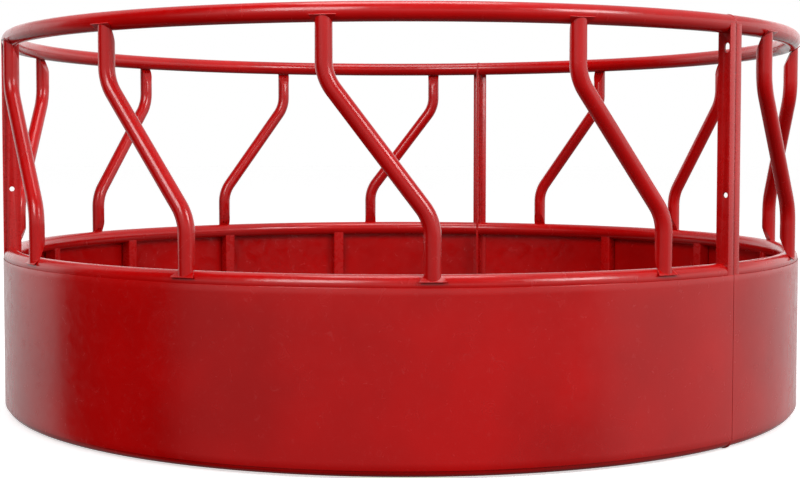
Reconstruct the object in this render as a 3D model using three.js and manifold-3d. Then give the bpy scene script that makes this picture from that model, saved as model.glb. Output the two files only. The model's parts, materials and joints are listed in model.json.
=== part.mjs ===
// Round bale feeder: three bolted sections form one ring around a bale.
// Each section has three rolled ring tubes, a skirt sheet, S-bent feed bars,
// square skirt posts and two end angles. Millimetres, +Z up.
// Origin: on the ring's axis, at the height of the feet.
import * as THREE from 'three';
import { mergeVertices } from 'three/addons/utils/BufferGeometryUtils.js';
import Module from 'manifold-3d';

const wasm = await Module();
wasm.setup();

// ---- driving dimensions -------------------------------------------------
const ringRadius = 1195; // ring tube centreline
const ringTubeRadius = 24.15; // 1.9 in tube
const tubeWall = 1.65;
const skirtRise = 430; // bottom ring to mid ring, centre to centre
const feedRise = 637; // mid ring to top ring, centre to centre
const footDrop = 4; // end angles stand this far below the bottom ring tube

const sectionCount = 3;
const firstSectionAngle = -15.9; // middle of the front section, degrees from -Y towards +X
const sectionNames = ['front', 'right', 'left'];

const skirtThickness = 1.5;
const skirtDrop = 5.6; // skirt edges lie this far below the ring centrelines
const skirtSeamGap = 2.4;

const barRadius = 21.1; // 1.66 in tube
const barsPerSection = 4;
const barPitchAngle = 29;
const lastBarMargin = 12.03; // right-hand joint to the nearest bar foot, degrees
const barOffset = 9; // bar centreline outside the ring centreline
const barSideShift = 254; // foot to head, sideways
const barBendHeight = 151; // ring centreline to the bend's corner
const barBendRadius = 114;

const tabThickness = 2.2;
const tabWidth = 67;
const tabTilt = THREE.MathUtils.degToRad(53); // from vertical
const tabReach = 20.5; // tangent point on the ring tube to the tab's end edge
const pressTilt = THREE.MathUtils.degToRad(25); // pressed inner wall, from vertical
const ventWidth = 4;
const ventHeight = 8;
const ventSpacing = 11;
const ventRise = 33;

const postSide = 38;
const postWall = 2;
const postsPerSection = 4;
const postPitchAngle = 22.1;
const lastPostMargin = 26.4; // right-hand joint to the nearest post, degrees
const postOffset = 1; // post centre outside the ring centreline

const angleLegDeep = 50.8; // radial leg
const angleLegWide = 25.4; // outer leg
const angleThickness = 3.2;
const topSlotLength = 25;
const topSlotDrop = 60;
const midHoleRise = 199;
const holeRadius = 7.15;

const boltRadius = 6.35;
const boltHeadAcross = 19;
const boltHeadHeight = 8;
const nutHeight = 11;
const boltEndReach = 3;
const boltRises = [80, 225]; // above the bottom ring centreline

// ---- clearances and facet counts ------------------------------------------
const gap = 0.3;
const skirtClearance = 0.4;
const boreClearance = 0.4;
const tubeSides = 8;
const barSides = 8;
const ringSteps = 16;
const bendSteps = 3;
const holeSides = 5; // segments in each half of a hole
const footSides = 7; // odd, so that each foot ends in a small flat

// ---- derived values ---------------------------------------------------------
const bottomHeight = ringTubeRadius + footDrop;
const midHeight = bottomHeight + skirtRise;
const topHeight = midHeight + feedRise;
const ringHeights = { bottom: bottomHeight, mid: midHeight, top: topHeight };

const sectionAngle = (2 * Math.PI) / sectionCount;
const ringStep = sectionAngle / ringSteps;
const halfStep = ringStep / 2;
const jointSide = sectionAngle / 2; // section middle to its joints
const tubeEnd = gap / 2 + angleThickness + gap; // joint plane to the ring tubes' ends
const skirtInner = ringRadius + ringTubeRadius + skirtClearance;
const barCentreRadius = ringRadius + barOffset;
const barHalfAngle = Math.asin(barSideShift / 2 / barCentreRadius);
const holeInset = angleLegDeep / 2; // hole centres, in from the angle's outer face

// ---- materials ----------------------------------------------------------------
const paint = (shade) => new THREE.MeshStandardMaterial({ color: shade, roughness: 0.3, metalness: 0 });
const tubePaint = paint(0xb01212);
const skirtPaint = paint(0xa81414);
const zinc = new THREE.MeshStandardMaterial({ color: 0x9a9c9e, roughness: 0.4, metalness: 0.9 });

// ---- solids ---------------------------------------------------------------------
function solid(geometry) {
  const bare = geometry.clone();
  bare.deleteAttribute('normal');
  bare.deleteAttribute('uv');
  const merged = mergeVertices(bare, 1e-4);
  return new wasm.Manifold(new wasm.Mesh({
    numProp: 3,
    vertProperties: new Float32Array(merged.attributes.position.array),
    triVerts: new Uint32Array(merged.index.array),
  }));
}

function geometryOf(manifold) {
  const mesh = manifold.getMesh();
  const geometry = new THREE.BufferGeometry();
  geometry.setAttribute('position', new THREE.BufferAttribute(new Float32Array(mesh.vertProperties), 3));
  geometry.setIndex(new THREE.BufferAttribute(new Uint32Array(mesh.triVerts), 1));
  geometry.computeVertexNormals();
  return geometry;
}

function cut(geometry, cutters) {
  const body = cutters.reduce((rest, cutter) => rest.subtract(solid(cutter)), solid(geometry));
  return geometryOf(body);
}

function join(geometries) {
  const parts = geometries.map(solid);
  return geometryOf(parts.reduce((sum, part) => sum.add(part)));
}

function polygonPoints(radius, sides) {
  const corner = (i) => {
    const angle = (2 * Math.PI * i) / sides;
    return new THREE.Vector2(radius * Math.cos(angle), radius * Math.sin(angle));
  };
  return Array.from({ length: sides }, (_, i) => corner(i));
}

// A path that steps from station to station, each with its own direction.
class StationPath extends THREE.Curve {
  constructor(stations) {
    super();
    this.stations = stations;
  }

  getPoint(t) {
    const place = t * (this.stations.length - 1);
    const start = Math.min(Math.floor(place), this.stations.length - 2);
    const from = this.stations[start].point;
    const to = this.stations[start + 1].point;
    return from.clone().lerp(to, place - start);
  }

  getTangent(t) {
    const nearest = Math.round(t * (this.stations.length - 1));
    return this.stations[nearest].tangent.clone();
  }

  getPointAt(t) {
    return this.getPoint(t);
  }

  getTangentAt(t) {
    return this.getTangent(t);
  }
}

function sweep(stations, outerRadius, sides, innerRadius = 0) {
  const shape = new THREE.Shape(polygonPoints(outerRadius, sides));
  if (innerRadius > 0) {
    shape.holes.push(new THREE.Path(polygonPoints(innerRadius, sides)));
  }
  const options = { steps: stations.length - 1, extrudePath: new StationPath(stations) };
  return new THREE.ExtrudeGeometry(shape, options);
}

function prism(shape, depth, curveSegments = holeSides) {
  return new THREE.ExtrudeGeometry(shape, { depth, bevelEnabled: false, curveSegments });
}

// Angles run from -Y towards +X, so outward is -Y at angle 0.
function polar(radius, angle, height = 0) {
  return new THREE.Vector3(radius * Math.sin(angle), -radius * Math.cos(angle), height);
}

// ---- ring tubes --------------------------------------------------------------------
function sectionAngles(endGap) {
  const angles = Array.from({ length: ringSteps + 1 }, (_, i) => -jointSide + i * ringStep);
  const trim = Math.asin(endGap / ringRadius);
  angles[0] += trim;
  angles[ringSteps] -= trim;
  return angles;
}

function ringStations(height, endGap) {
  return sectionAngles(endGap).map((angle) => ({
    point: polar(ringRadius, angle, height),
    tangent: new THREE.Vector3(Math.cos(angle), Math.sin(angle), 0),
  }));
}

function ringEnvelope(height) {
  return sweep(ringStations(height, tubeEnd), ringTubeRadius + gap, tubeSides);
}

// ---- end angles ----------------------------------------------------------------------
// Built at the joint plane; side is +1 when the section lies towards +X of it.
function outerLeg(side, low, high, grow) {
  const along = new THREE.Vector2(side * Math.cos(halfStep), Math.sin(halfStep));
  const outward = new THREE.Vector2(side * Math.sin(halfStep), -Math.cos(halfStep));
  const start = new THREE.Vector2(0, -ringRadius);
  const outerFace = ringTubeRadius + grow;
  const innerFace = ringTubeRadius - angleThickness - grow;
  const atJoint = (offset) => (gap / 2 - grow - Math.sin(halfStep) * offset) / Math.cos(halfStep);
  const corner = (distance, offset) => start.clone()
    .addScaledVector(along, distance)
    .addScaledVector(outward, offset);
  const outline = [
    corner(atJoint(outerFace), outerFace),
    corner(angleLegWide + grow, outerFace),
    corner(angleLegWide + grow, innerFace),
    corner(atJoint(innerFace), innerFace),
  ];
  return prism(new THREE.Shape(outline), high - low + 2 * grow).translate(0, 0, low - grow);
}

function roundHole(x, y) {
  return new THREE.Path().absarc(x, y, holeRadius, 0, 2 * Math.PI, true);
}

function uprightSlot(x, y) {
  const half = topSlotLength / 2 - holeRadius;
  const slot = new THREE.Path();
  slot.absarc(x, y + half, holeRadius, Math.PI, 0, true);
  slot.absarc(x, y - half, holeRadius, 0, -Math.PI, true);
  return slot;
}

// Outline across the leg (x, in from the outer face) and up (y).
function radialLegShape() {
  const half = angleLegDeep / 2;
  const footScale = bottomHeight / Math.cos(Math.PI / footSides / 2);
  const outline = [];
  for (let i = 0; i <= footSides; i += 1) {
    const turn = (Math.PI * i) / footSides;
    const lift = -footScale * Math.sin(turn);
    outline.push(new THREE.Vector2(half - half * Math.cos(turn), bottomHeight + lift));
  }
  for (let i = 0; i <= footSides; i += 1) {
    const turn = (Math.PI * i) / footSides;
    outline.push(new THREE.Vector2(half + half * Math.cos(turn), topHeight + half * Math.sin(turn)));
  }
  const shape = new THREE.Shape(outline);
  shape.holes.push(uprightSlot(holeInset, topHeight - topSlotDrop));
  shape.holes.push(roundHole(holeInset, midHeight + midHoleRise));
  boltRises.forEach((rise) => shape.holes.push(roundHole(holeInset, bottomHeight + rise)));
  return shape;
}

function endAngle(side) {
  const leg = prism(radialLegShape(), angleThickness);
  const across = new THREE.Vector3(0, 1, 0);
  const up = new THREE.Vector3(0, 0, 1);
  const basis = new THREE.Matrix4().makeBasis(across, up, new THREE.Vector3(1, 0, 0));
  leg.applyMatrix4(basis);
  const nearFace = side > 0 ? gap / 2 : -gap / 2 - angleThickness;
  leg.translate(nearFace, -ringRadius - ringTubeRadius, 0);
  return join([leg, outerLeg(side, bottomHeight - skirtDrop, topHeight, 0)]);
}

function ringTube(height) {
  const stations = ringStations(height, tubeEnd);
  const tube = sweep(stations, ringTubeRadius, tubeSides, ringTubeRadius - tubeWall);
  const legLow = bottomHeight - skirtDrop;
  const notchAtStart = outerLeg(1, legLow, topHeight, gap).rotateZ(-jointSide);
  const notchAtEnd = outerLeg(-1, legLow, topHeight, gap).rotateZ(jointSide);
  return cut(tube, [notchAtStart, notchAtEnd]);
}

// ---- skirt -------------------------------------------------------------------------
function skirtSheet() {
  const angles = sectionAngles(skirtSeamGap / 2);
  const arc = (radius) => angles.map((angle) => polar(radius, angle));
  const outline = [...arc(skirtInner + skirtThickness), ...arc(skirtInner).reverse()];
  const shape = new THREE.Shape(outline.map((point) => new THREE.Vector2(point.x, point.y)));
  return prism(shape, skirtRise).translate(0, 0, bottomHeight - skirtDrop);
}

// ---- skirt posts -----------------------------------------------------------------------
function squareShape(side) {
  const half = side / 2;
  return [[-half, -half], [half, -half], [half, half], [-half, half]].map(
    ([x, y]) => new THREE.Vector2(x, y),
  );
}

function skirtPost(angle) {
  const shape = new THREE.Shape(squareShape(postSide));
  shape.holes.push(new THREE.Path(squareShape(postSide - 2 * postWall)));
  const endInset = ringTubeRadius / 4;
  const post = prism(shape, skirtRise - 2 * endInset);
  post.translate(0, -ringRadius - postOffset, bottomHeight + endInset);
  const cutters = [bottomHeight, midHeight].map((height) => ringEnvelope(height).rotateZ(-angle));
  return cut(post, cutters);
}

// ---- feed bars -----------------------------------------------------------------------------
// A bar lies in one plane. Its foot is at +X and its head at -X.
function barStations() {
  const reach = barSideShift / 2;
  const lean = Math.atan2(barSideShift, feedRise - 2 * barBendHeight);
  const tangentLength = barBendRadius * Math.tan(lean / 2);
  const plane = -barCentreRadius * Math.cos(barHalfAngle);
  const station = (x, z, slope) => ({
    point: new THREE.Vector3(x, plane, z),
    tangent: new THREE.Vector3(-Math.sin(slope), 0, Math.cos(slope)),
  });
  const footBend = midHeight + barBendHeight - tangentLength;
  const headBend = topHeight - barBendHeight + tangentLength;
  const stations = [station(reach, midHeight, 0)];
  for (let i = 0; i <= bendSteps; i += 1) {
    const slope = (lean * i) / bendSteps;
    const inward = barBendRadius * (1 - Math.cos(slope));
    stations.push(station(reach - inward, footBend + barBendRadius * Math.sin(slope), slope));
  }
  for (let i = bendSteps; i >= 0; i -= 1) {
    const slope = (lean * i) / bendSteps;
    const inward = barBendRadius * (1 - Math.cos(slope));
    stations.push(station(inward - reach, headBend - barBendRadius * Math.sin(slope), slope));
  }
  stations.push(station(-reach, topHeight, 0));
  return stations;
}

// The end features are drawn for a foot: x along the ring tube, -y outward, z up,
// with the ring tube's centre at the origin. A head is the same turned over.
const tabDown = new THREE.Vector2(Math.sin(tabTilt), -Math.cos(tabTilt));
const tabNormal = new THREE.Vector2(Math.cos(tabTilt), Math.sin(tabTilt));
const tabEdge = tabNormal.clone().multiplyScalar(ringTubeRadius + gap).addScaledVector(tabDown, tabReach);
const tabLength = (tabEdge.x - barOffset) / tabDown.x;
const pressStart = tabEdge.clone().addScaledVector(tabDown, -tabLength);

// Everything below the tab's inner face and inside the pressed wall.
// inset moves both faces into the bar's metal.
function underTab(pressInset, tabInset) {
  const far = 4 * ringTubeRadius;
  const pressUp = new THREE.Vector2(-Math.sin(pressTilt), Math.cos(pressTilt));
  const pressNormal = new THREE.Vector2(Math.cos(pressTilt), Math.sin(pressTilt));
  const onPress = pressStart.clone().addScaledVector(pressNormal, pressInset);
  const onTab = pressStart.clone().addScaledVector(tabNormal, tabInset);
  const between = onTab.clone().sub(onPress);
  const turn = pressUp.x * tabDown.y - pressUp.y * tabDown.x;
  const climb = (between.x * tabDown.y - between.y * tabDown.x) / turn;
  const corner = onPress.clone().addScaledVector(pressUp, climb);
  const outline = [
    corner,
    corner.clone().addScaledVector(pressUp, far),
    new THREE.Vector2(-far, -far),
    new THREE.Vector2(far, -far),
    corner.clone().addScaledVector(tabDown, far),
  ];
  const block = prism(new THREE.Shape(outline), 2 * tabWidth);
  const outward = new THREE.Vector3(0, -1, 0);
  const up = new THREE.Vector3(0, 0, 1);
  const basis = new THREE.Matrix4().makeBasis(outward, up, new THREE.Vector3(-1, 0, 0));
  return block.translate(0, 0, -tabWidth).applyMatrix4(basis);
}

function tabPlate() {
  const shape = new THREE.Shape([
    new THREE.Vector2(-tabWidth / 2, 0),
    new THREE.Vector2(tabWidth / 2, 0),
    new THREE.Vector2(barRadius, tabLength),
    new THREE.Vector2(-barRadius, tabLength),
  ]);
  const plate = prism(shape, tabThickness);
  const along = new THREE.Vector3(1, 0, 0);
  const upTab = new THREE.Vector3(0, tabDown.x, -tabDown.y);
  const outward = new THREE.Vector3(0, -tabNormal.x, tabNormal.y);
  plate.applyMatrix4(new THREE.Matrix4().makeBasis(along, upTab, outward));
  return plate.translate(0, -tabEdge.x, tabEdge.y);
}

function vent(side) {
  const depth = barRadius;
  const pressDepth = pressStart.x - (ventRise - pressStart.y) * Math.tan(pressTilt);
  const block = new THREE.BoxGeometry(ventWidth, depth, ventHeight);
  const inner = pressDepth + depth / 4;
  return block.translate((side * ventSpacing) / 2, -inner + depth / 2, ventRise);
}

function atFoot(geometry) {
  return geometry
    .translate(0, -ringRadius, 0)
    .rotateZ(barHalfAngle)
    .translate(0, 0, midHeight);
}

function atHead(geometry) {
  return geometry
    .rotateY(Math.PI)
    .translate(0, -ringRadius, 0)
    .rotateZ(-barHalfAngle)
    .translate(0, 0, topHeight);
}

function feedBar(angle) {
  const stations = barStations();
  const ends = [atFoot, atHead];
  const outside = solid(sweep(stations, barRadius, barSides));
  const inside = solid(sweep(stations, barRadius - tubeWall, barSides));
  const tabs = ends.map((place) => solid(place(tabPlate())));
  const trims = ends.map((place) => solid(place(underTab(0, 0))));
  const cavityTrims = ends.map((place) => solid(place(underTab(tubeWall, tabThickness))));
  const rings = [midHeight, topHeight].map((height) => solid(ringEnvelope(height).rotateZ(-angle)));
  const vents = ends.flatMap((place) => [-1, 1].map((side) => solid(place(vent(side)))));
  const cavity = cavityTrims.reduce((rest, cutter) => rest.subtract(cutter), inside);
  let bar = trims.reduce((rest, cutter) => rest.subtract(cutter), outside);
  bar = tabs.reduce((sum, tab) => sum.add(tab), bar);
  bar = [cavity, ...rings, ...vents].reduce((rest, cutter) => rest.subtract(cutter), bar);
  return geometryOf(bar);
}

// ---- joint bolts ---------------------------------------------------------------------------
function roundBar(radius, length, sides) {
  return new THREE.CylinderGeometry(radius, radius, length, sides).rotateZ(Math.PI / 2);
}

const clamped = gap / 2 + angleThickness + gap; // joint plane to the head's bearing face
const hexRadius = boltHeadAcross / 2 / Math.cos(Math.PI / 6);

function jointBolt() {
  const low = -clamped - boltHeadHeight / 2; // the shank starts inside the head
  const high = clamped + nutHeight + boltEndReach;
  const shank = roundBar(boltRadius, high - low, tubeSides).translate((high + low) / 2, 0, 0);
  const head = roundBar(hexRadius, boltHeadHeight, 6).translate(-clamped - boltHeadHeight / 2, 0, 0);
  return join([shank, head]);
}

function jointNut() {
  const nut = roundBar(hexRadius, nutHeight, 6);
  const bore = roundBar(boltRadius + boreClearance, 2 * nutHeight, tubeSides);
  return cut(nut, [bore]).translate(clamped + nutHeight / 2, 0, 0);
}

// ---- assembly --------------------------------------------------------------------------------
function addMesh(parent, name, geometry, material, turn = 0) {
  const mesh = new THREE.Mesh(geometry, material);
  mesh.name = name;
  mesh.rotation.z = turn;
  parent.add(mesh);
  return mesh;
}

function sectionGroup(name) {
  const section = new THREE.Group();
  Object.entries(ringHeights).forEach(([level, height]) => {
    addMesh(section, `${name}_${level}_ring_tube`, ringTube(height), tubePaint);
  });
  addMesh(section, `${name}_skirt_sheet`, skirtSheet(), skirtPaint);
  addMesh(section, `${name}_end_angle_left`, endAngle(1), tubePaint, -jointSide);
  addMesh(section, `${name}_end_angle_right`, endAngle(-1), tubePaint, jointSide);
  for (let i = 0; i < barsPerSection; i += 1) {
    const foot = THREE.MathUtils.degToRad(lastBarMargin + i * barPitchAngle);
    const angle = jointSide - foot - barHalfAngle;
    addMesh(section, `${name}_feed_bar_${i + 1}`, feedBar(angle), tubePaint, angle);
  }
  for (let i = 0; i < postsPerSection; i += 1) {
    const angle = jointSide - THREE.MathUtils.degToRad(lastPostMargin + i * postPitchAngle);
    addMesh(section, `${name}_skirt_post_${i + 1}`, skirtPost(angle), tubePaint, angle);
  }
  return section;
}

function jointGroup(name) {
  const joint = new THREE.Group();
  boltRises.forEach((rise, i) => {
    const place = new THREE.Vector3(0, -ringRadius - ringTubeRadius + holeInset, bottomHeight + rise);
    addMesh(joint, `${name}_joint_bolt_${i + 1}`, jointBolt(), zinc).position.copy(place);
    addMesh(joint, `${name}_joint_nut_${i + 1}`, jointNut(), zinc).position.copy(place);
  });
  return joint;
}

const group = new THREE.Group();
sectionNames.forEach((name, i) => {
  const turn = THREE.MathUtils.degToRad(firstSectionAngle) + i * sectionAngle;
  const section = sectionGroup(name);
  section.rotation.z = turn;
  group.add(section);
  const joint = jointGroup(name);
  joint.rotation.z = turn + jointSide;
  group.add(joint);
});

export default group;
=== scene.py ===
"""Round bale feeder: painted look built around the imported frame. Metres, +Z up."""
import json
import math

import bmesh
import bpy
from mathutils import Matrix, Vector


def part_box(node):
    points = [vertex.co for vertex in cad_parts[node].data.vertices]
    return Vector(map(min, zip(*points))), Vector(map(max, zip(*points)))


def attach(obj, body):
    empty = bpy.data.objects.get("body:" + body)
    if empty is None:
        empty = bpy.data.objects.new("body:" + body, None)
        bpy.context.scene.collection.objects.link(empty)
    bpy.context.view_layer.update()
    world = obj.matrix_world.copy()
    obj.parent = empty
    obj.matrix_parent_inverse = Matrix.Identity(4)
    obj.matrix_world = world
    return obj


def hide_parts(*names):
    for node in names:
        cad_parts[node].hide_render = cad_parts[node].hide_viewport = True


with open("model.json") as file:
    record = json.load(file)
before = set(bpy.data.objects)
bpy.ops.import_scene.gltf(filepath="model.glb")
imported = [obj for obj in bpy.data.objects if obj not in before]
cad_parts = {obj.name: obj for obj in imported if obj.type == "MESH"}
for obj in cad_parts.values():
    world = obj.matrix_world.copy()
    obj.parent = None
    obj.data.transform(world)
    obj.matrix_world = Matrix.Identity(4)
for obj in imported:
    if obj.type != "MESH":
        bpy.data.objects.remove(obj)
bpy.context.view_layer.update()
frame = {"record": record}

# ---- sizes taken from the frame ------------------------------------------------------
SECTIONS = ("front", "right", "left")
LEVELS = ("bottom", "mid", "top")
PER_SECTION = 4
mounts = {mount["name"]: mount for mount in frame["record"]["mounts"]}


def height_of(level):
    low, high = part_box(f"front_{level}_ring_tube")
    return (low[2] + high[2]) / 2


RING_Z = {level: height_of(level) for level in LEVELS}
tube_low, tube_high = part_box("front_top_ring_tube")
TUBE_R = (tube_high[2] - tube_low[2]) / 2
skirt_low, skirt_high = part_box("front_skirt_sheet")

# ---- sizes of the real pieces, as in the solids --------------------------------------
RING_R = 1.195
SECTION = 2 * math.pi / 3
ANGLE_THICK = 0.0032
ANGLE_CLEARANCE = 0.0003
ANGLE_ROUND = 0.0005
LEG_ROUND = 0.0004
FILLET_R = 0.0045
FILLET_SUNK = 0.0002
LEG_DEEP = 0.0508
LEG_WIDE = 0.0254
HOLE_R = 0.00715
SLOT_LENGTH = 0.025
SLOT_DROP = 0.060
MID_HOLE_RISE = 0.199
BOLT_RISES = (0.080, 0.225)
BOLT_R = 0.00635
SKIRT_THICK = 0.0015
SKIRT_CLEARANCE = 0.0004
SKIRT_INNER = RING_R + TUBE_R + SKIRT_CLEARANCE
SEAM_GAP = 0.0024
BAR_R = 0.0211
BAR_OFFSET = 0.009
BAR_SHIFT = 0.254
BAR_BEND_HEIGHT = 0.151
BAR_BEND_R = 0.114
BAR_PITCH = math.radians(29)
BAR_MARGIN = math.radians(12.03)
TAB_CLEARANCE = 0.0002
TAB_ROUND = 0.0005
TAB_THICK = 0.0022
TAB_WIDTH = 0.067
TAB_TILT = math.radians(53)
TAB_REACH = 0.0205
PRESS_TILT = math.radians(25)
POST_SIDE = 0.038
POST_CORNER = 0.0035
POST_OFFSET = 0.001
POST_PITCH = math.radians(22.1)
POST_MARGIN = math.radians(26.4)

JOINT_GAP = 0.00015
BAR_HALF = math.asin(BAR_SHIFT / 2 / (RING_R + BAR_OFFSET))


def joint_angle(section):
    """Angle of a section's right-hand joint, from -Y towards +X."""
    x, y, _ = mounts[f"{section}_foot"]["pos_m"]
    inset = JOINT_GAP + ANGLE_THICK / 2
    return math.atan2(x, -y) + inset / math.hypot(x, y)


# ---- mesh helpers --------------------------------------------------------------------
CREASE = math.radians(32)


def shade(bm, crease):
    """Smooth shading, with the edges that turn by more than crease kept sharp."""
    for face in bm.faces:
        face.smooth = True
    for edge in bm.edges:
        edge.smooth = not (len(edge.link_faces) == 2 and edge.calc_face_angle() > crease)


def mesh_object(name, bm, crease=CREASE):
    """Makes an object from a bmesh, and frees the bmesh."""
    bmesh.ops.recalc_face_normals(bm, faces=bm.faces)
    shade(bm, crease)
    mesh = bpy.data.meshes.new(name)
    bm.to_mesh(mesh)
    bm.free()
    obj = bpy.data.objects.new(name, mesh)
    bpy.context.scene.collection.objects.link(obj)
    return obj


def shade_again(obj):
    """Shading for a mesh that booleans have cut."""
    bm = bmesh.new()
    bm.from_mesh(obj.data)
    shade(bm, CREASE)
    bm.to_mesh(obj.data)
    bm.free()


def loft(bm, loops):
    """Joins equal loops of points with quads and caps the two ends."""
    rings = [[bm.verts.new(point) for point in loop] for loop in loops]
    count = len(rings[0])
    for first, second in zip(rings, rings[1:]):
        for i in range(count):
            j = (i + 1) % count
            bm.faces.new((first[i], first[j], second[j], second[i]))
    bm.faces.new(rings[0][::-1])
    bm.faces.new(rings[-1])


def circle_loop(centre, side, up, radius, sides):
    """Points round a circle in the plane of side and up."""
    return [
        centre + side * (radius * math.cos(a)) + up * (radius * math.sin(a))
        for a in (2 * math.pi * i / sides for i in range(sides))
    ]


def outward(angle):
    """Unit vector away from the ring's axis, at an angle from -Y towards +X."""
    return Vector((math.sin(angle), -math.cos(angle), 0))


def apply_modifiers(obj):
    depsgraph = bpy.context.evaluated_depsgraph_get()
    mesh = bpy.data.meshes.new_from_object(obj.evaluated_get(depsgraph))
    obj.modifiers.clear()
    obj.data = mesh


def boolean(obj, cutter, operation):
    """Cuts the cutter from obj or joins it to obj, and removes the cutter."""
    modifier = obj.modifiers.new(operation.lower(), "BOOLEAN")
    modifier.object = cutter
    modifier.operation = operation
    modifier.solver = "EXACT"
    apply_modifiers(obj)
    bpy.data.objects.remove(cutter)


def bevel_edges(bm, width):
    """Rounds the sharp edges."""
    edges = [e for e in bm.edges if len(e.link_faces) == 2 and e.calc_face_angle() > math.radians(40)]
    bmesh.ops.bevel(bm, geom=edges, offset=width, segments=2, profile=0.5, affect="EDGES")


def box_bmesh(low, high):
    bm = bmesh.new()
    bmesh.ops.create_cube(bm, size=1)
    size = Vector(high) - Vector(low)
    middle = (Vector(high) + Vector(low)) / 2
    place = Matrix.Translation(middle) @ Matrix.Diagonal((*size, 1))
    bmesh.ops.transform(bm, matrix=place, verts=bm.verts)
    return bm


# ---- materials -----------------------------------------------------------------------
def node(tree, kind, **values):
    """A new node with its sockets, or else its settings, given by name."""
    made = tree.nodes.new(kind)
    for key, value in values.items():
        if key in made.inputs:
            made.inputs[key].default_value = value
        else:
            setattr(made, key, value)
    return made


def noise(tree, scale, detail, roughness=0.5, distortion=0.0):
    """Noise through the piece's place; scale is in features per metre."""
    position = node(tree, "ShaderNodeNewGeometry")
    texture = node(tree, "ShaderNodeTexNoise", Scale=scale, Detail=detail)
    texture.inputs["Roughness"].default_value = roughness
    texture.inputs["Distortion"].default_value = distortion
    tree.links.new(position.outputs["Position"], texture.inputs["Vector"])
    return texture.outputs["Fac"]


def remap(tree, source, low, high, to_low, to_high):
    """Maps source from low..high to to_low..to_high, clamped."""
    mapped = node(tree, "ShaderNodeMapRange")
    mapped.inputs["From Min"].default_value = low
    mapped.inputs["From Max"].default_value = high
    mapped.inputs["To Min"].default_value = to_low
    mapped.inputs["To Max"].default_value = to_high
    tree.links.new(source, mapped.inputs["Value"])
    return mapped.outputs["Result"]


def mix_colour(tree, factor, first, second):
    """Mixes two colours; first may be a socket."""
    mix = node(tree, "ShaderNodeMix", data_type="RGBA")
    tree.links.new(factor, mix.inputs["Factor"])
    for socket, value in (("A", first), ("B", second)):
        target = [s for s in mix.inputs if s.name == socket and s.type == "RGBA"][0]
        if isinstance(value, bpy.types.NodeSocket):
            tree.links.new(value, target)
        else:
            target.default_value = (*value, 1)
    return [s for s in mix.outputs if s.type == "RGBA"][0]


RED = (0.50, 0.0012, 0.0012)
SMUDGED_RED = (0.58, 0.07, 0.07)
WORN_RED = (0.62, 0.03, 0.03)
DARK_SHARE, LIGHT_SHARE = 0.86, 1.08
EDGE_WEAR = 0.35


def paint(name, rough, smudge, peel, wave):
    """Glossy red paint.

    Its tone drifts, pale smudges and uneven gloss lie over it, and it is worn a little along edges.
    peel and wave are the heights, in metres, of the orange peel and of the slow ripple in the metal.
    """
    material = bpy.data.materials.new(name)
    material.use_nodes = True
    tree = material.node_tree
    shader = tree.nodes["Principled BSDF"]
    dark = tuple(c * DARK_SHARE for c in RED)
    light = tuple(c * LIGHT_SHARE for c in RED)
    drift = remap(tree, noise(tree, 3.2, 3), 0.35, 0.65, 0, 1)
    tone = mix_colour(tree, drift, dark, light)
    smudges = remap(tree, noise(tree, 38, 4, 0.62, 2.4), 0.60, 0.72, 0, smudge)
    tone = mix_colour(tree, smudges, tone, SMUDGED_RED)
    geometry = node(tree, "ShaderNodeNewGeometry")
    edges = remap(tree, geometry.outputs["Pointiness"], 0.53, 0.60, 0, EDGE_WEAR)
    tone = mix_colour(tree, edges, tone, WORN_RED)
    tree.links.new(tone, shader.inputs["Base Color"])
    gloss = remap(tree, noise(tree, 24, 5, 0.6, 1.2), 0.3, 0.7, rough - 0.06, rough + 0.09)
    tree.links.new(gloss, shader.inputs["Roughness"])
    shader.inputs["Specular IOR Level"].default_value = 0.5
    fine = node(tree, "ShaderNodeBump", Strength=0.25, Distance=peel)
    tree.links.new(noise(tree, 420, 2), fine.inputs["Height"])
    slow = node(tree, "ShaderNodeBump", Strength=0.5, Distance=wave)
    tree.links.new(noise(tree, 9, 2), slow.inputs["Height"])
    tree.links.new(fine.outputs["Normal"], slow.inputs["Normal"])
    tree.links.new(slow.outputs["Normal"], shader.inputs["Normal"])
    return material


def zinc_plate():
    """Dull zinc with a fine spangle."""
    material = bpy.data.materials.new("zinc_plate")
    material.use_nodes = True
    tree = material.node_tree
    shader = tree.nodes["Principled BSDF"]
    spangle = remap(tree, noise(tree, 160, 3), 0.35, 0.65, 0, 1)
    tone = mix_colour(tree, spangle, (0.46, 0.47, 0.48), (0.66, 0.66, 0.64))
    tree.links.new(tone, shader.inputs["Base Color"])
    shader.inputs["Metallic"].default_value = 1
    tree.links.new(remap(tree, noise(tree, 300, 4), 0.3, 0.7, 0.28, 0.46), shader.inputs["Roughness"])
    bump = node(tree, "ShaderNodeBump", Strength=0.2, Distance=0.0001)
    tree.links.new(noise(tree, 900, 3), bump.inputs["Height"])
    tree.links.new(bump.outputs["Normal"], shader.inputs["Normal"])
    return material


materials = {
    "tube_paint": paint("tube_paint", rough=0.20, smudge=0.10, peel=0.00006, wave=0.0004),
    "skirt_paint": paint("skirt_paint", rough=0.20, smudge=0.18, peel=0.00008, wave=0.0012),
    "angle_paint": paint("angle_paint", rough=0.26, smudge=0.14, peel=0.00008, wave=0.0005),
    "post_paint": paint("post_paint", rough=0.26, smudge=0.16, peel=0.00008, wave=0.0005),
    "zinc_plate": zinc_plate(),
}


def finish_piece(obj, node_name, slot, turn, offset=(0, 0, 0)):
    """Puts a piece in place of a CAD node.

    Its own vertices are turned about the ring's axis, so that its box stays a close fit.
    """
    obj.data.transform(Matrix.Translation(offset) @ Matrix.Rotation(turn, 4, "Z"))
    obj.data.materials.clear()
    obj.data.materials.append(materials[slot])
    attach(obj, "root")
    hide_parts(node_name)


def copy_of(obj, name):
    twin = bpy.data.objects.new(name, obj.data.copy())
    bpy.context.scene.collection.objects.link(twin)
    return twin


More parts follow.
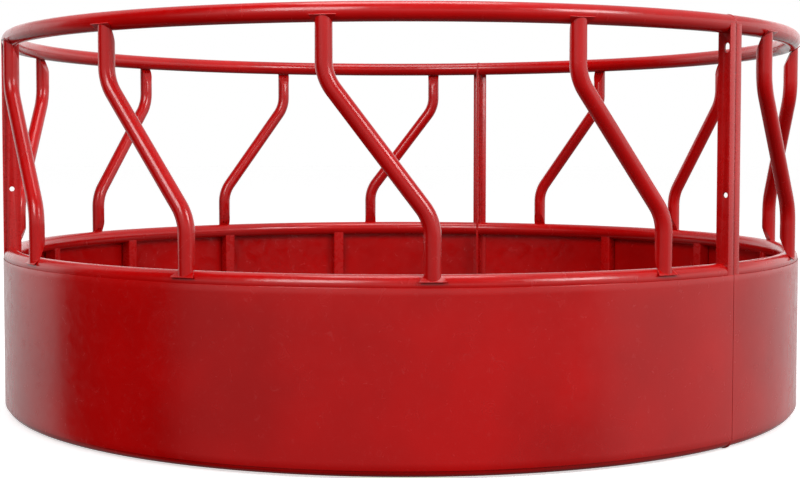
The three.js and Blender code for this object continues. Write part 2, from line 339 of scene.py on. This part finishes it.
# ---- ring tubes ----------------------------------------------------------------------
RING_STEPS = 120
TUBE_SIDES = 40


def section_turns(end_gap, steps):
    """Angles along a section centred on -Y, stopping end_gap short of both joint planes."""
    trim = math.asin(end_gap / RING_R)
    low = -SECTION / 2 + trim
    return [low + (SECTION - 2 * trim) * i / steps for i in range(steps + 1)]


def ring_tube(name, height):
    up = Vector((0, 0, 1))
    bm = bmesh.new()
    loft(bm, [
        circle_loop(outward(turn) * RING_R + up * height, outward(turn), up, TUBE_R, TUBE_SIDES)
        for turn in section_turns(JOINT_GAP + ANGLE_THICK, RING_STEPS)
    ])
    return mesh_object(name, bm)


# ---- skirt sheet ---------------------------------------------------------------------
def skirt_sheet(name):
    """A curved sheet with rounded top and bottom edges."""
    low, high = skirt_low[2], skirt_high[2]
    round_r = SKIRT_THICK / 2
    middle = SKIRT_INNER + round_r
    rows = 24
    flat = high - low - 2 * round_r
    inner = [(middle - round_r, low + round_r + flat * i / rows) for i in range(rows + 1)]
    outer = [(middle + round_r, z) for _, z in reversed(inner)]
    cap = [math.pi * i / 4 for i in range(1, 4)]
    top = [(middle - round_r * math.cos(a), high - round_r + round_r * math.sin(a)) for a in cap]
    bottom = [(middle + round_r * math.cos(a), low + round_r - round_r * math.sin(a)) for a in cap]
    profile = inner + top + outer + bottom
    bm = bmesh.new()
    loft(bm, [
        [outward(turn) * radius + Vector((0, 0, z)) for radius, z in profile]
        for turn in section_turns(SEAM_GAP / 2, RING_STEPS)
    ])
    return mesh_object(name, bm)


# ---- end angles ----------------------------------------------------------------------
def arc_points(cx, cy, rx, ry, start, end, steps):
    """Points on an ellipse's arc, both ends included."""
    angles = [start + (end - start) * i / steps for i in range(steps + 1)]
    return [(cx + rx * math.cos(a), cy + ry * math.sin(a)) for a in angles]


def plate(name, outline, holes, thickness, bevel):
    """A flat plate with holes and rounded edges, drawn in x and y, its middle plane at z = 0."""
    curve = bpy.data.curves.new(name, "CURVE")
    curve.dimensions = "2D"
    curve.fill_mode = "BOTH"
    curve.extrude = thickness / 2 - bevel
    curve.bevel_depth = bevel
    curve.bevel_resolution = 1
    curve.offset = -bevel
    for points in (outline, *holes):
        spline = curve.splines.new("POLY")
        spline.points.add(len(points) - 1)
        for point, (x, y) in zip(spline.points, points):
            point.co = (x, y, 0, 1)
        spline.use_cyclic_u = True
    made = bpy.data.objects.new(name, curve)
    bpy.context.scene.collection.objects.link(made)
    depsgraph = bpy.context.evaluated_depsgraph_get()
    mesh = bpy.data.meshes.new_from_object(made.evaluated_get(depsgraph))
    bpy.data.objects.remove(made)
    bm = bmesh.new()
    bm.from_mesh(mesh)
    bmesh.ops.remove_doubles(bm, verts=bm.verts, dist=1e-6)
    return bm


def radial_leg():
    """The leg with rounded ends, the slot, the round hole and the bolt holes."""
    half = LEG_DEEP / 2
    z_low, z_high = RING_Z["bottom"], RING_Z["top"]
    outline = arc_points(half, z_high, half, half, 0, math.pi, 28)
    outline += arc_points(half, z_low, half, z_low, math.pi, 2 * math.pi, 28)
    slot_half = SLOT_LENGTH / 2 - HOLE_R
    slot_z = z_high - SLOT_DROP
    slot = arc_points(half, slot_z + slot_half, HOLE_R, HOLE_R, 0, math.pi, 12)
    slot += arc_points(half, slot_z - slot_half, HOLE_R, HOLE_R, math.pi, 2 * math.pi, 12)
    hole_heights = [RING_Z["mid"] + MID_HOLE_RISE] + [z_low + rise for rise in BOLT_RISES]
    last = 2 * math.pi * 23 / 24
    holes = [arc_points(half, z, HOLE_R, HOLE_R, 0, last, 23) for z in hole_heights]
    return plate("radial_leg", outline, [slot, *holes], ANGLE_THICK, LEG_ROUND)


def end_angle(name, side):
    """Radial leg, outer leg and root fillet, for a joint plane at x = 0.

    side is +1 when the section lies towards +X of the joint plane.
    """
    bm = radial_leg()
    face = RING_R + TUBE_R + ANGLE_CLEARANCE
    middle = side * (JOINT_GAP + ANGLE_THICK / 2)
    columns = ((0, 1, 0, 0), (0, 0, 1, 0), (1, 0, 0, 0), (middle, -face, 0, 1))
    bmesh.ops.transform(bm, matrix=Matrix(columns).transposed(), verts=bm.verts)
    start, end = sorted((side * JOINT_GAP, side * LEG_WIDE))
    leg_low = skirt_low[2]
    leg = box_bmesh((start, -face, leg_low), (end, -face + ANGLE_THICK, RING_Z["top"]))
    bevel_edges(leg, ANGLE_ROUND)
    fillet = bmesh.new()
    sunk = ANGLE_THICK - FILLET_SUNK
    corner = Vector((side * (JOINT_GAP + sunk), -face + sunk, 0))
    arc = [
        corner + Vector((side * FILLET_R * (1 - math.sin(a)), FILLET_R * (1 - math.cos(a)), 0))
        for a in (math.pi / 2 * i / 6 for i in range(7))
    ]
    heights = (leg_low, RING_Z["top"] - TUBE_R)
    loft(fillet, [[point + Vector((0, 0, z)) for point in (corner, *arc)] for z in heights])
    for extra in (leg, fillet):
        mesh = bpy.data.meshes.new("extra")
        bmesh.ops.recalc_face_normals(extra, faces=extra.faces)
        extra.to_mesh(mesh)
        extra.free()
        bm.from_mesh(mesh)
    return mesh_object(name, bm)


# ---- skirt posts ---------------------------------------------------------------------
def rounded_square(side, corner):
    """Outline of a square tube."""
    steps = 5
    half = side / 2 - corner
    points = []
    for quarter, (sx, sy) in enumerate(((1, 1), (-1, 1), (-1, -1), (1, -1))):
        for i in range(steps + 1):
            a = math.pi / 2 * (quarter + i / steps)
            points.append((sx * half + corner * math.cos(a), sy * half + corner * math.sin(a)))
    return points


def skirt_post(name):
    """A square post, standing at -Y."""
    square = rounded_square(POST_SIDE, POST_CORNER)
    rows = 12
    low, high = RING_Z["bottom"], RING_Z["mid"]
    bm = bmesh.new()
    loft(bm, [
        [Vector((x, y - RING_R - POST_OFFSET, low + (high - low) * i / rows)) for x, y in square]
        for i in range(rows + 1)
    ])
    return mesh_object(name, bm, math.radians(50))


# ---- feed bars -----------------------------------------------------------------------
BAR_SIDES = 48
BEND_STEPS = 14


def bar_stations():
    """(point, direction) along a bar, from its foot at +X to its head at -X."""
    reach = BAR_SHIFT / 2
    z_mid, z_top = RING_Z["mid"], RING_Z["top"]
    lean = math.atan2(BAR_SHIFT, z_top - z_mid - 2 * BAR_BEND_HEIGHT)
    tangent = BAR_BEND_R * math.tan(lean / 2)
    plane = -(RING_R + BAR_OFFSET) * math.cos(BAR_HALF)
    foot_bend = z_mid + BAR_BEND_HEIGHT - tangent
    head_bend = z_top - BAR_BEND_HEIGHT + tangent

    def station(x, z, slope):
        return Vector((x, plane, z)), Vector((-math.sin(slope), 0, math.cos(slope)))

    stations = [station(reach, z_mid, 0)]
    slopes = [lean * i / BEND_STEPS for i in range(BEND_STEPS + 1)]
    for slope in slopes:
        inward = BAR_BEND_R * (1 - math.cos(slope))
        stations.append(station(reach - inward, foot_bend + BAR_BEND_R * math.sin(slope), slope))
    for slope in reversed(slopes):
        inward = BAR_BEND_R * (1 - math.cos(slope))
        stations.append(station(inward - reach, head_bend - BAR_BEND_R * math.sin(slope), slope))
    stations.append(station(-reach, z_top, 0))
    return stations


# A foot is drawn with x along the ring tube, -y outward and the tube's centre at the origin.
TAB_DOWN = Vector((math.sin(TAB_TILT), -math.cos(TAB_TILT)))
TAB_NORMAL = Vector((math.cos(TAB_TILT), math.sin(TAB_TILT)))
TAB_EDGE = TAB_NORMAL * (TUBE_R + TAB_CLEARANCE) + TAB_DOWN * TAB_REACH
TAB_LENGTH = (TAB_EDGE.x - BAR_OFFSET) / TAB_DOWN.x
PRESS_START = TAB_EDGE - TAB_DOWN * TAB_LENGTH
VENT_RISE = 0.033
VENT_SIZE = (0.0035, 0.0075)
VENT_SPACING = 0.011
VENT_REACH = 0.006


def end_matrix(at_head):
    """Places a foot's features at the foot or, turned over, at the head."""
    flip = Matrix.Rotation(math.pi, 4, "Y") if at_head else Matrix()
    turn = -BAR_HALF if at_head else BAR_HALF
    height = RING_Z["top" if at_head else "mid"]
    inwards = Matrix.Translation((0, -RING_R, 0))
    return Matrix.Translation((0, 0, height)) @ Matrix.Rotation(turn, 4, "Z") @ inwards @ flip


def under_tab(at_head):
    """All that is below the tab's inner face and inside the pressed wall."""
    far = 4 * TUBE_R
    press_up = Vector((-math.sin(PRESS_TILT), math.cos(PRESS_TILT)))
    outline = [
        PRESS_START,
        PRESS_START + press_up * far,
        Vector((-far, -far)),
        Vector((far, -far)),
        PRESS_START + TAB_DOWN * far,
    ]
    bm = bmesh.new()
    loft(bm, [[Vector((x, -p.x, p.y)) for p in outline] for x in (-TAB_WIDTH, TAB_WIDTH)])
    bmesh.ops.transform(bm, matrix=end_matrix(at_head), verts=bm.verts)
    return mesh_object("under_tab", bm)


def tab_plate(at_head):
    """The flat tab, as wide as the bar at its root and flared towards its end edge."""
    half_edge, half_root = TAB_WIDTH / 2, BAR_R
    bm = bmesh.new()
    along = Vector((1, 0, 0))
    up_tab = Vector((0, TAB_DOWN.x, -TAB_DOWN.y))
    normal = Vector((0, -TAB_NORMAL.x, TAB_NORMAL.y))
    origin = Vector((0, -TAB_EDGE.x, TAB_EDGE.y))
    shape = [(-half_edge, 0), (half_edge, 0), (half_root, TAB_LENGTH), (-half_root, TAB_LENGTH)]
    loft(bm, [
        [origin + along * x + up_tab * v + normal * lift for x, v in shape]
        for lift in (0, TAB_THICK)
    ])
    bmesh.ops.recalc_face_normals(bm, faces=bm.faces)
    bevel_edges(bm, TAB_ROUND)
    bmesh.ops.transform(bm, matrix=end_matrix(at_head), verts=bm.verts)
    return mesh_object("tab", bm)


def vent(at_head, side):
    """The small slot on one side of the pressed wall, as a cutter."""
    width, tall = VENT_SIZE
    depth = PRESS_START.x - (VENT_RISE - PRESS_START.y) * math.tan(PRESS_TILT)
    middle = Vector((side * VENT_SPACING / 2, -depth, VENT_RISE))
    reach = Vector((width / 2, VENT_REACH, tall / 2))
    bm = box_bmesh(middle - reach, middle + reach)
    bmesh.ops.transform(bm, matrix=end_matrix(at_head), verts=bm.verts)
    return mesh_object("vent", bm)


def feed_bar(name):
    """An S-bent bar with its pressed, flared ends, centred on -Y."""
    side = Vector((0, -1, 0))
    bm = bmesh.new()
    loft(bm, [
        circle_loop(point, side, direction.cross(side), BAR_R, BAR_SIDES)
        for point, direction in bar_stations()
    ])
    bar = mesh_object(name, bm)
    for at_head in (False, True):
        boolean(bar, under_tab(at_head), "DIFFERENCE")
        boolean(bar, tab_plate(at_head), "UNION")
        for vent_side in (-1, 1):
            boolean(bar, vent(at_head, vent_side), "DIFFERENCE")
    shade_again(bar)
    return bar


# ---- joint bolts and nuts ------------------------------------------------------------
HEX_ACROSS = 0.019
HEAD_HEIGHT = 0.008
NUT_HEIGHT = 0.011
BOLT_REACH = 0.003
THREAD_PITCH = 0.0019
THREAD_DEPTH = 0.0006
THREAD_START = 0.002
TIP_CHAMFER = 0.0015
TIP_DROP = 0.0009
HEAD_CHAMFER = 0.0016
HEAD_ROUND = 0.0006
SHANK_SUNK = 0.001
NUT_CHAMFER = 0.0008
NUT_CLEARANCE = 0.0002
CLAMPED = JOINT_GAP + ANGLE_THICK


def hex_loops(levels):
    """Hexagons across x, one for each (x, share of the corner radius), chamfered where the share drops."""
    corner = HEX_ACROSS / 2 / math.cos(math.pi / 6)
    sides = 48
    loops = []
    for x, factor in levels:
        loop = []
        for i in range(sides):
            a = 2 * math.pi * i / sides
            hexagon = HEX_ACROSS / 2 / math.cos((a % (math.pi / 3)) - math.pi / 6)
            radius = min(hexagon, corner * factor)
            loop.append(Vector((x, radius * math.cos(a), radius * math.sin(a))))
        loops.append(loop)
    return loops


def shank_radius(x, end):
    """Radius along the shank: plain, then threaded, then chamfered at its end."""
    wave = 0.5 - 0.5 * math.cos(2 * math.pi * x / THREAD_PITCH)
    radius = BOLT_R - (THREAD_DEPTH * wave if x > THREAD_START else 0.0)
    return radius - TIP_DROP * max(0.0, (x - end + TIP_CHAMFER) / TIP_CHAMFER)


def bolt(name):
    """A hexagon bolt along x, its head outside x = -CLAMPED."""
    head_end = -CLAMPED - HEAD_HEIGHT
    head = [
        (head_end, 0.80),
        (head_end + HEAD_CHAMFER, 1.0),
        (-CLAMPED - HEAD_ROUND, 1.0),
        (-CLAMPED, 0.93),
    ]
    bm = bmesh.new()
    loft(bm, hex_loops(head))
    end = CLAMPED + NUT_HEIGHT + BOLT_REACH
    steps = 56
    stations = [
        -CLAMPED - SHANK_SUNK + (end + CLAMPED + SHANK_SUNK) * i / steps
        for i in range(steps + 1)
    ]
    side, up = Vector((0, 1, 0)), Vector((0, 0, 1))
    loft(bm, [circle_loop(Vector((x, 0, 0)), side, up, shank_radius(x, end), 24) for x in stations])
    return mesh_object(name, bm)


def nut(name):
    """A hexagon nut, chamfered on both faces."""
    low, high = CLAMPED + NUT_CLEARANCE, CLAMPED + NUT_HEIGHT
    bm = bmesh.new()
    levels = [(low, 0.90), (low + NUT_CHAMFER, 1.0), (high - NUT_CHAMFER, 1.0), (high, 0.90)]
    loft(bm, hex_loops(levels))
    return mesh_object(name, bm)


# ---- build the pieces ----------------------------------------------------------------
bar_master = feed_bar("bar_master")
post_master = skirt_post("post_master")
skirt_master = skirt_sheet("skirt_master")
ring_masters = {level: ring_tube(f"{level}_ring_master", RING_Z[level]) for level in LEVELS}
angle_masters = {"left": end_angle("left_angle_master", 1), "right": end_angle("right_angle_master", -1)}
bolt_master = bolt("bolt_master")
nut_master = nut("nut_master")
masters = [bar_master, post_master, skirt_master, bolt_master, nut_master]
masters += [*ring_masters.values(), *angle_masters.values()]

for section in SECTIONS:
    joint = joint_angle(section)
    centre = joint - SECTION / 2
    for level in LEVELS:
        piece = copy_of(ring_masters[level], f"{section}_{level}_tube")
        finish_piece(piece, f"{section}_{level}_ring_tube", "tube_paint", centre)
    piece = copy_of(skirt_master, f"{section}_skirt")
    finish_piece(piece, f"{section}_skirt_sheet", "skirt_paint", centre)
    for side, turn in (("left", centre - SECTION / 2), ("right", joint)):
        piece = copy_of(angle_masters[side], f"{section}_{side}_angle")
        finish_piece(piece, f"{section}_end_angle_{side}", "angle_paint", turn)
    for i in range(PER_SECTION):
        piece = copy_of(bar_master, f"{section}_bar_{i + 1}")
        turn = joint - BAR_MARGIN - i * BAR_PITCH - BAR_HALF
        finish_piece(piece, f"{section}_feed_bar_{i + 1}", "tube_paint", turn)
        piece = copy_of(post_master, f"{section}_post_{i + 1}")
        turn = joint - POST_MARGIN - i * POST_PITCH
        finish_piece(piece, f"{section}_skirt_post_{i + 1}", "post_paint", turn)
    for i, rise in enumerate(BOLT_RISES):
        for kind, master in (("bolt", bolt_master), ("nut", nut_master)):
            piece = copy_of(master, f"{section}_{kind}_{i + 1}")
            middle = RING_R + TUBE_R - LEG_DEEP / 2
            offset = outward(joint) * middle + Vector((0, 0, RING_Z["bottom"] + rise))
            finish_piece(piece, f"{section}_joint_{kind}_{i + 1}", "zinc_plate", joint, offset)

for master in masters:
    bpy.data.objects.remove(master)


# ---- floor, light and camera ---------------------------------------------------------
def pale_floor():
    """A pale floor under the feeder. It catches the shadow and throws no light back."""
    bm = bmesh.new()
    bmesh.ops.create_circle(bm, cap_ends=True, radius=60, segments=96)
    floor = mesh_object("floor", bm)
    material = bpy.data.materials.new("pale_floor")
    material.use_nodes = True
    shader = material.node_tree.nodes["Principled BSDF"]
    shader.inputs["Base Color"].default_value = (0.92, 0.92, 0.92, 1)
    shader.inputs["Roughness"].default_value = 0.9
    shader.inputs["Specular IOR Level"].default_value = 0.0
    shader.inputs["Emission Color"].default_value = (1, 1, 1, 1)
    shader.inputs["Emission Strength"].default_value = 0.55
    floor.data.materials.append(material)
    floor.visible_glossy = False
    floor.visible_diffuse = False


# Brightness round the horizon, by degrees from -Y towards +X: a dark flat on the left,
# a softbox on the right and a white wall behind.
ROUND = (
    (-180, 1.0), (-112, 1.0), (-104, 0.02), (-66, 0.02), (-58, 0.36), (50, 0.40), (60, 0.9), (180, 1.0),
)
# What that is multiplied by, by the sine of the elevation.
RISE = ((-1, 0.1), (-0.5, 0.2), (-0.25, 0.6), (-0.02, 0.9), (0.04, 2.0), (0.2, 2.0), (0.4, 0.6), (1, 0.7))
BRIGHTEST = 1.2


def ramp(tree, source, stops):
    """A curve of source through the (position, value) stops, straight between them."""
    low, high = stops[0][0], stops[-1][0]
    top = max(value for _, value in stops)
    curve = node(tree, "ShaderNodeValToRGB")
    elements = curve.color_ramp.elements
    while len(elements) < len(stops):
        elements.new(0.5)
    for element, (position, value) in zip(elements, stops):
        element.position = (position - low) / (high - low)
        element.color = (value / top, value / top, value / top, 1)
    tree.links.new(remap(tree, source, low, high, 0, 1), curve.inputs["Fac"])
    return math_node(tree, "MULTIPLY", curve.outputs["Color"], top)


def math_node(tree, operation, first, second):
    """One step of arithmetic on sockets or numbers."""
    made = node(tree, "ShaderNodeMath", operation=operation)
    for socket, value in zip(made.inputs, (first, second)):
        if isinstance(value, bpy.types.NodeSocket):
            tree.links.new(value, socket)
        else:
            socket.default_value = value
    return made.outputs["Value"]


def studio_world():
    """White to the camera; what lights the feeder is the studio round it."""
    world = bpy.data.worlds.new("studio")
    bpy.context.scene.world = world
    world.use_nodes = True
    tree = world.node_tree
    tree.nodes.clear()
    split = node(tree, "ShaderNodeSeparateXYZ")
    tree.links.new(node(tree, "ShaderNodeTexCoord").outputs["Generated"], split.inputs["Vector"])
    ahead = math_node(tree, "MULTIPLY", split.outputs["Y"], -1.0)
    turn = math_node(tree, "ARCTAN2", split.outputs["X"], ahead)
    degrees = math_node(tree, "MULTIPLY", turn, 180 / math.pi)
    level = math_node(tree, "MULTIPLY", ramp(tree, degrees, ROUND), ramp(tree, split.outputs["Z"], RISE))
    light = node(tree, "ShaderNodeBackground")
    tree.links.new(math_node(tree, "MINIMUM", level, BRIGHTEST), light.inputs["Strength"])
    light.inputs["Color"].default_value = (1, 1, 1, 1)
    backdrop = node(tree, "ShaderNodeBackground", Strength=1.0)
    backdrop.inputs["Color"].default_value = (1, 1, 1, 1)
    path = node(tree, "ShaderNodeLightPath")
    mix = node(tree, "ShaderNodeMixShader")
    output = node(tree, "ShaderNodeOutputWorld")
    tree.links.new(path.outputs["Is Camera Ray"], mix.inputs["Fac"])
    tree.links.new(light.outputs["Background"], mix.inputs[1])
    tree.links.new(backdrop.outputs["Background"], mix.inputs[2])
    tree.links.new(mix.outputs["Shader"], output.inputs["Surface"])


def soft_light(name, place, target, size, power):
    """A square softbox, size metres wide and power watts, facing its target."""
    light = bpy.data.lights.new(name, "AREA")
    light.shape = "SQUARE"
    light.size = size
    light.energy = power
    lamp = bpy.data.objects.new(name, light)
    lamp.location = place
    lamp.rotation_euler = (Vector(target) - Vector(place)).to_track_quat("-Z", "Y").to_euler()
    bpy.context.scene.collection.objects.link(lamp)


CAMERA_BELOW_TOP = 0.320
LOOK_DOWN = 0.0493


def camera():
    """Below the top ring, in front of the feeder, looking slightly down."""
    data = bpy.data.cameras.new("camera")
    data.sensor_width = 36
    data.lens = 62.89
    data.shift_x = 0.018
    data.shift_y = -0.026
    made = bpy.data.objects.new("camera", data)
    made.location = (-0.045, -4.454, RING_Z["top"] - CAMERA_BELOW_TOP)
    made.rotation_euler = (math.pi / 2 - LOOK_DOWN, 0, 0)
    bpy.context.scene.collection.objects.link(made)
    bpy.context.scene.camera = made


pale_floor()
studio_world()
soft_light("key", place=(4.2, -3.9, 3.6), target=(0.2, 0, 0.5), size=2.0, power=150)
soft_light("fill", place=(-2.4, -5.4, 3.9), target=(0, -0.6, 0.4), size=2.6, power=190)
soft_light("top", place=(0, -0.3, 5.2), target=(0, 0, 0.6), size=2.4, power=90)
camera()
bpy.context.scene.view_settings.view_transform = "Standard"
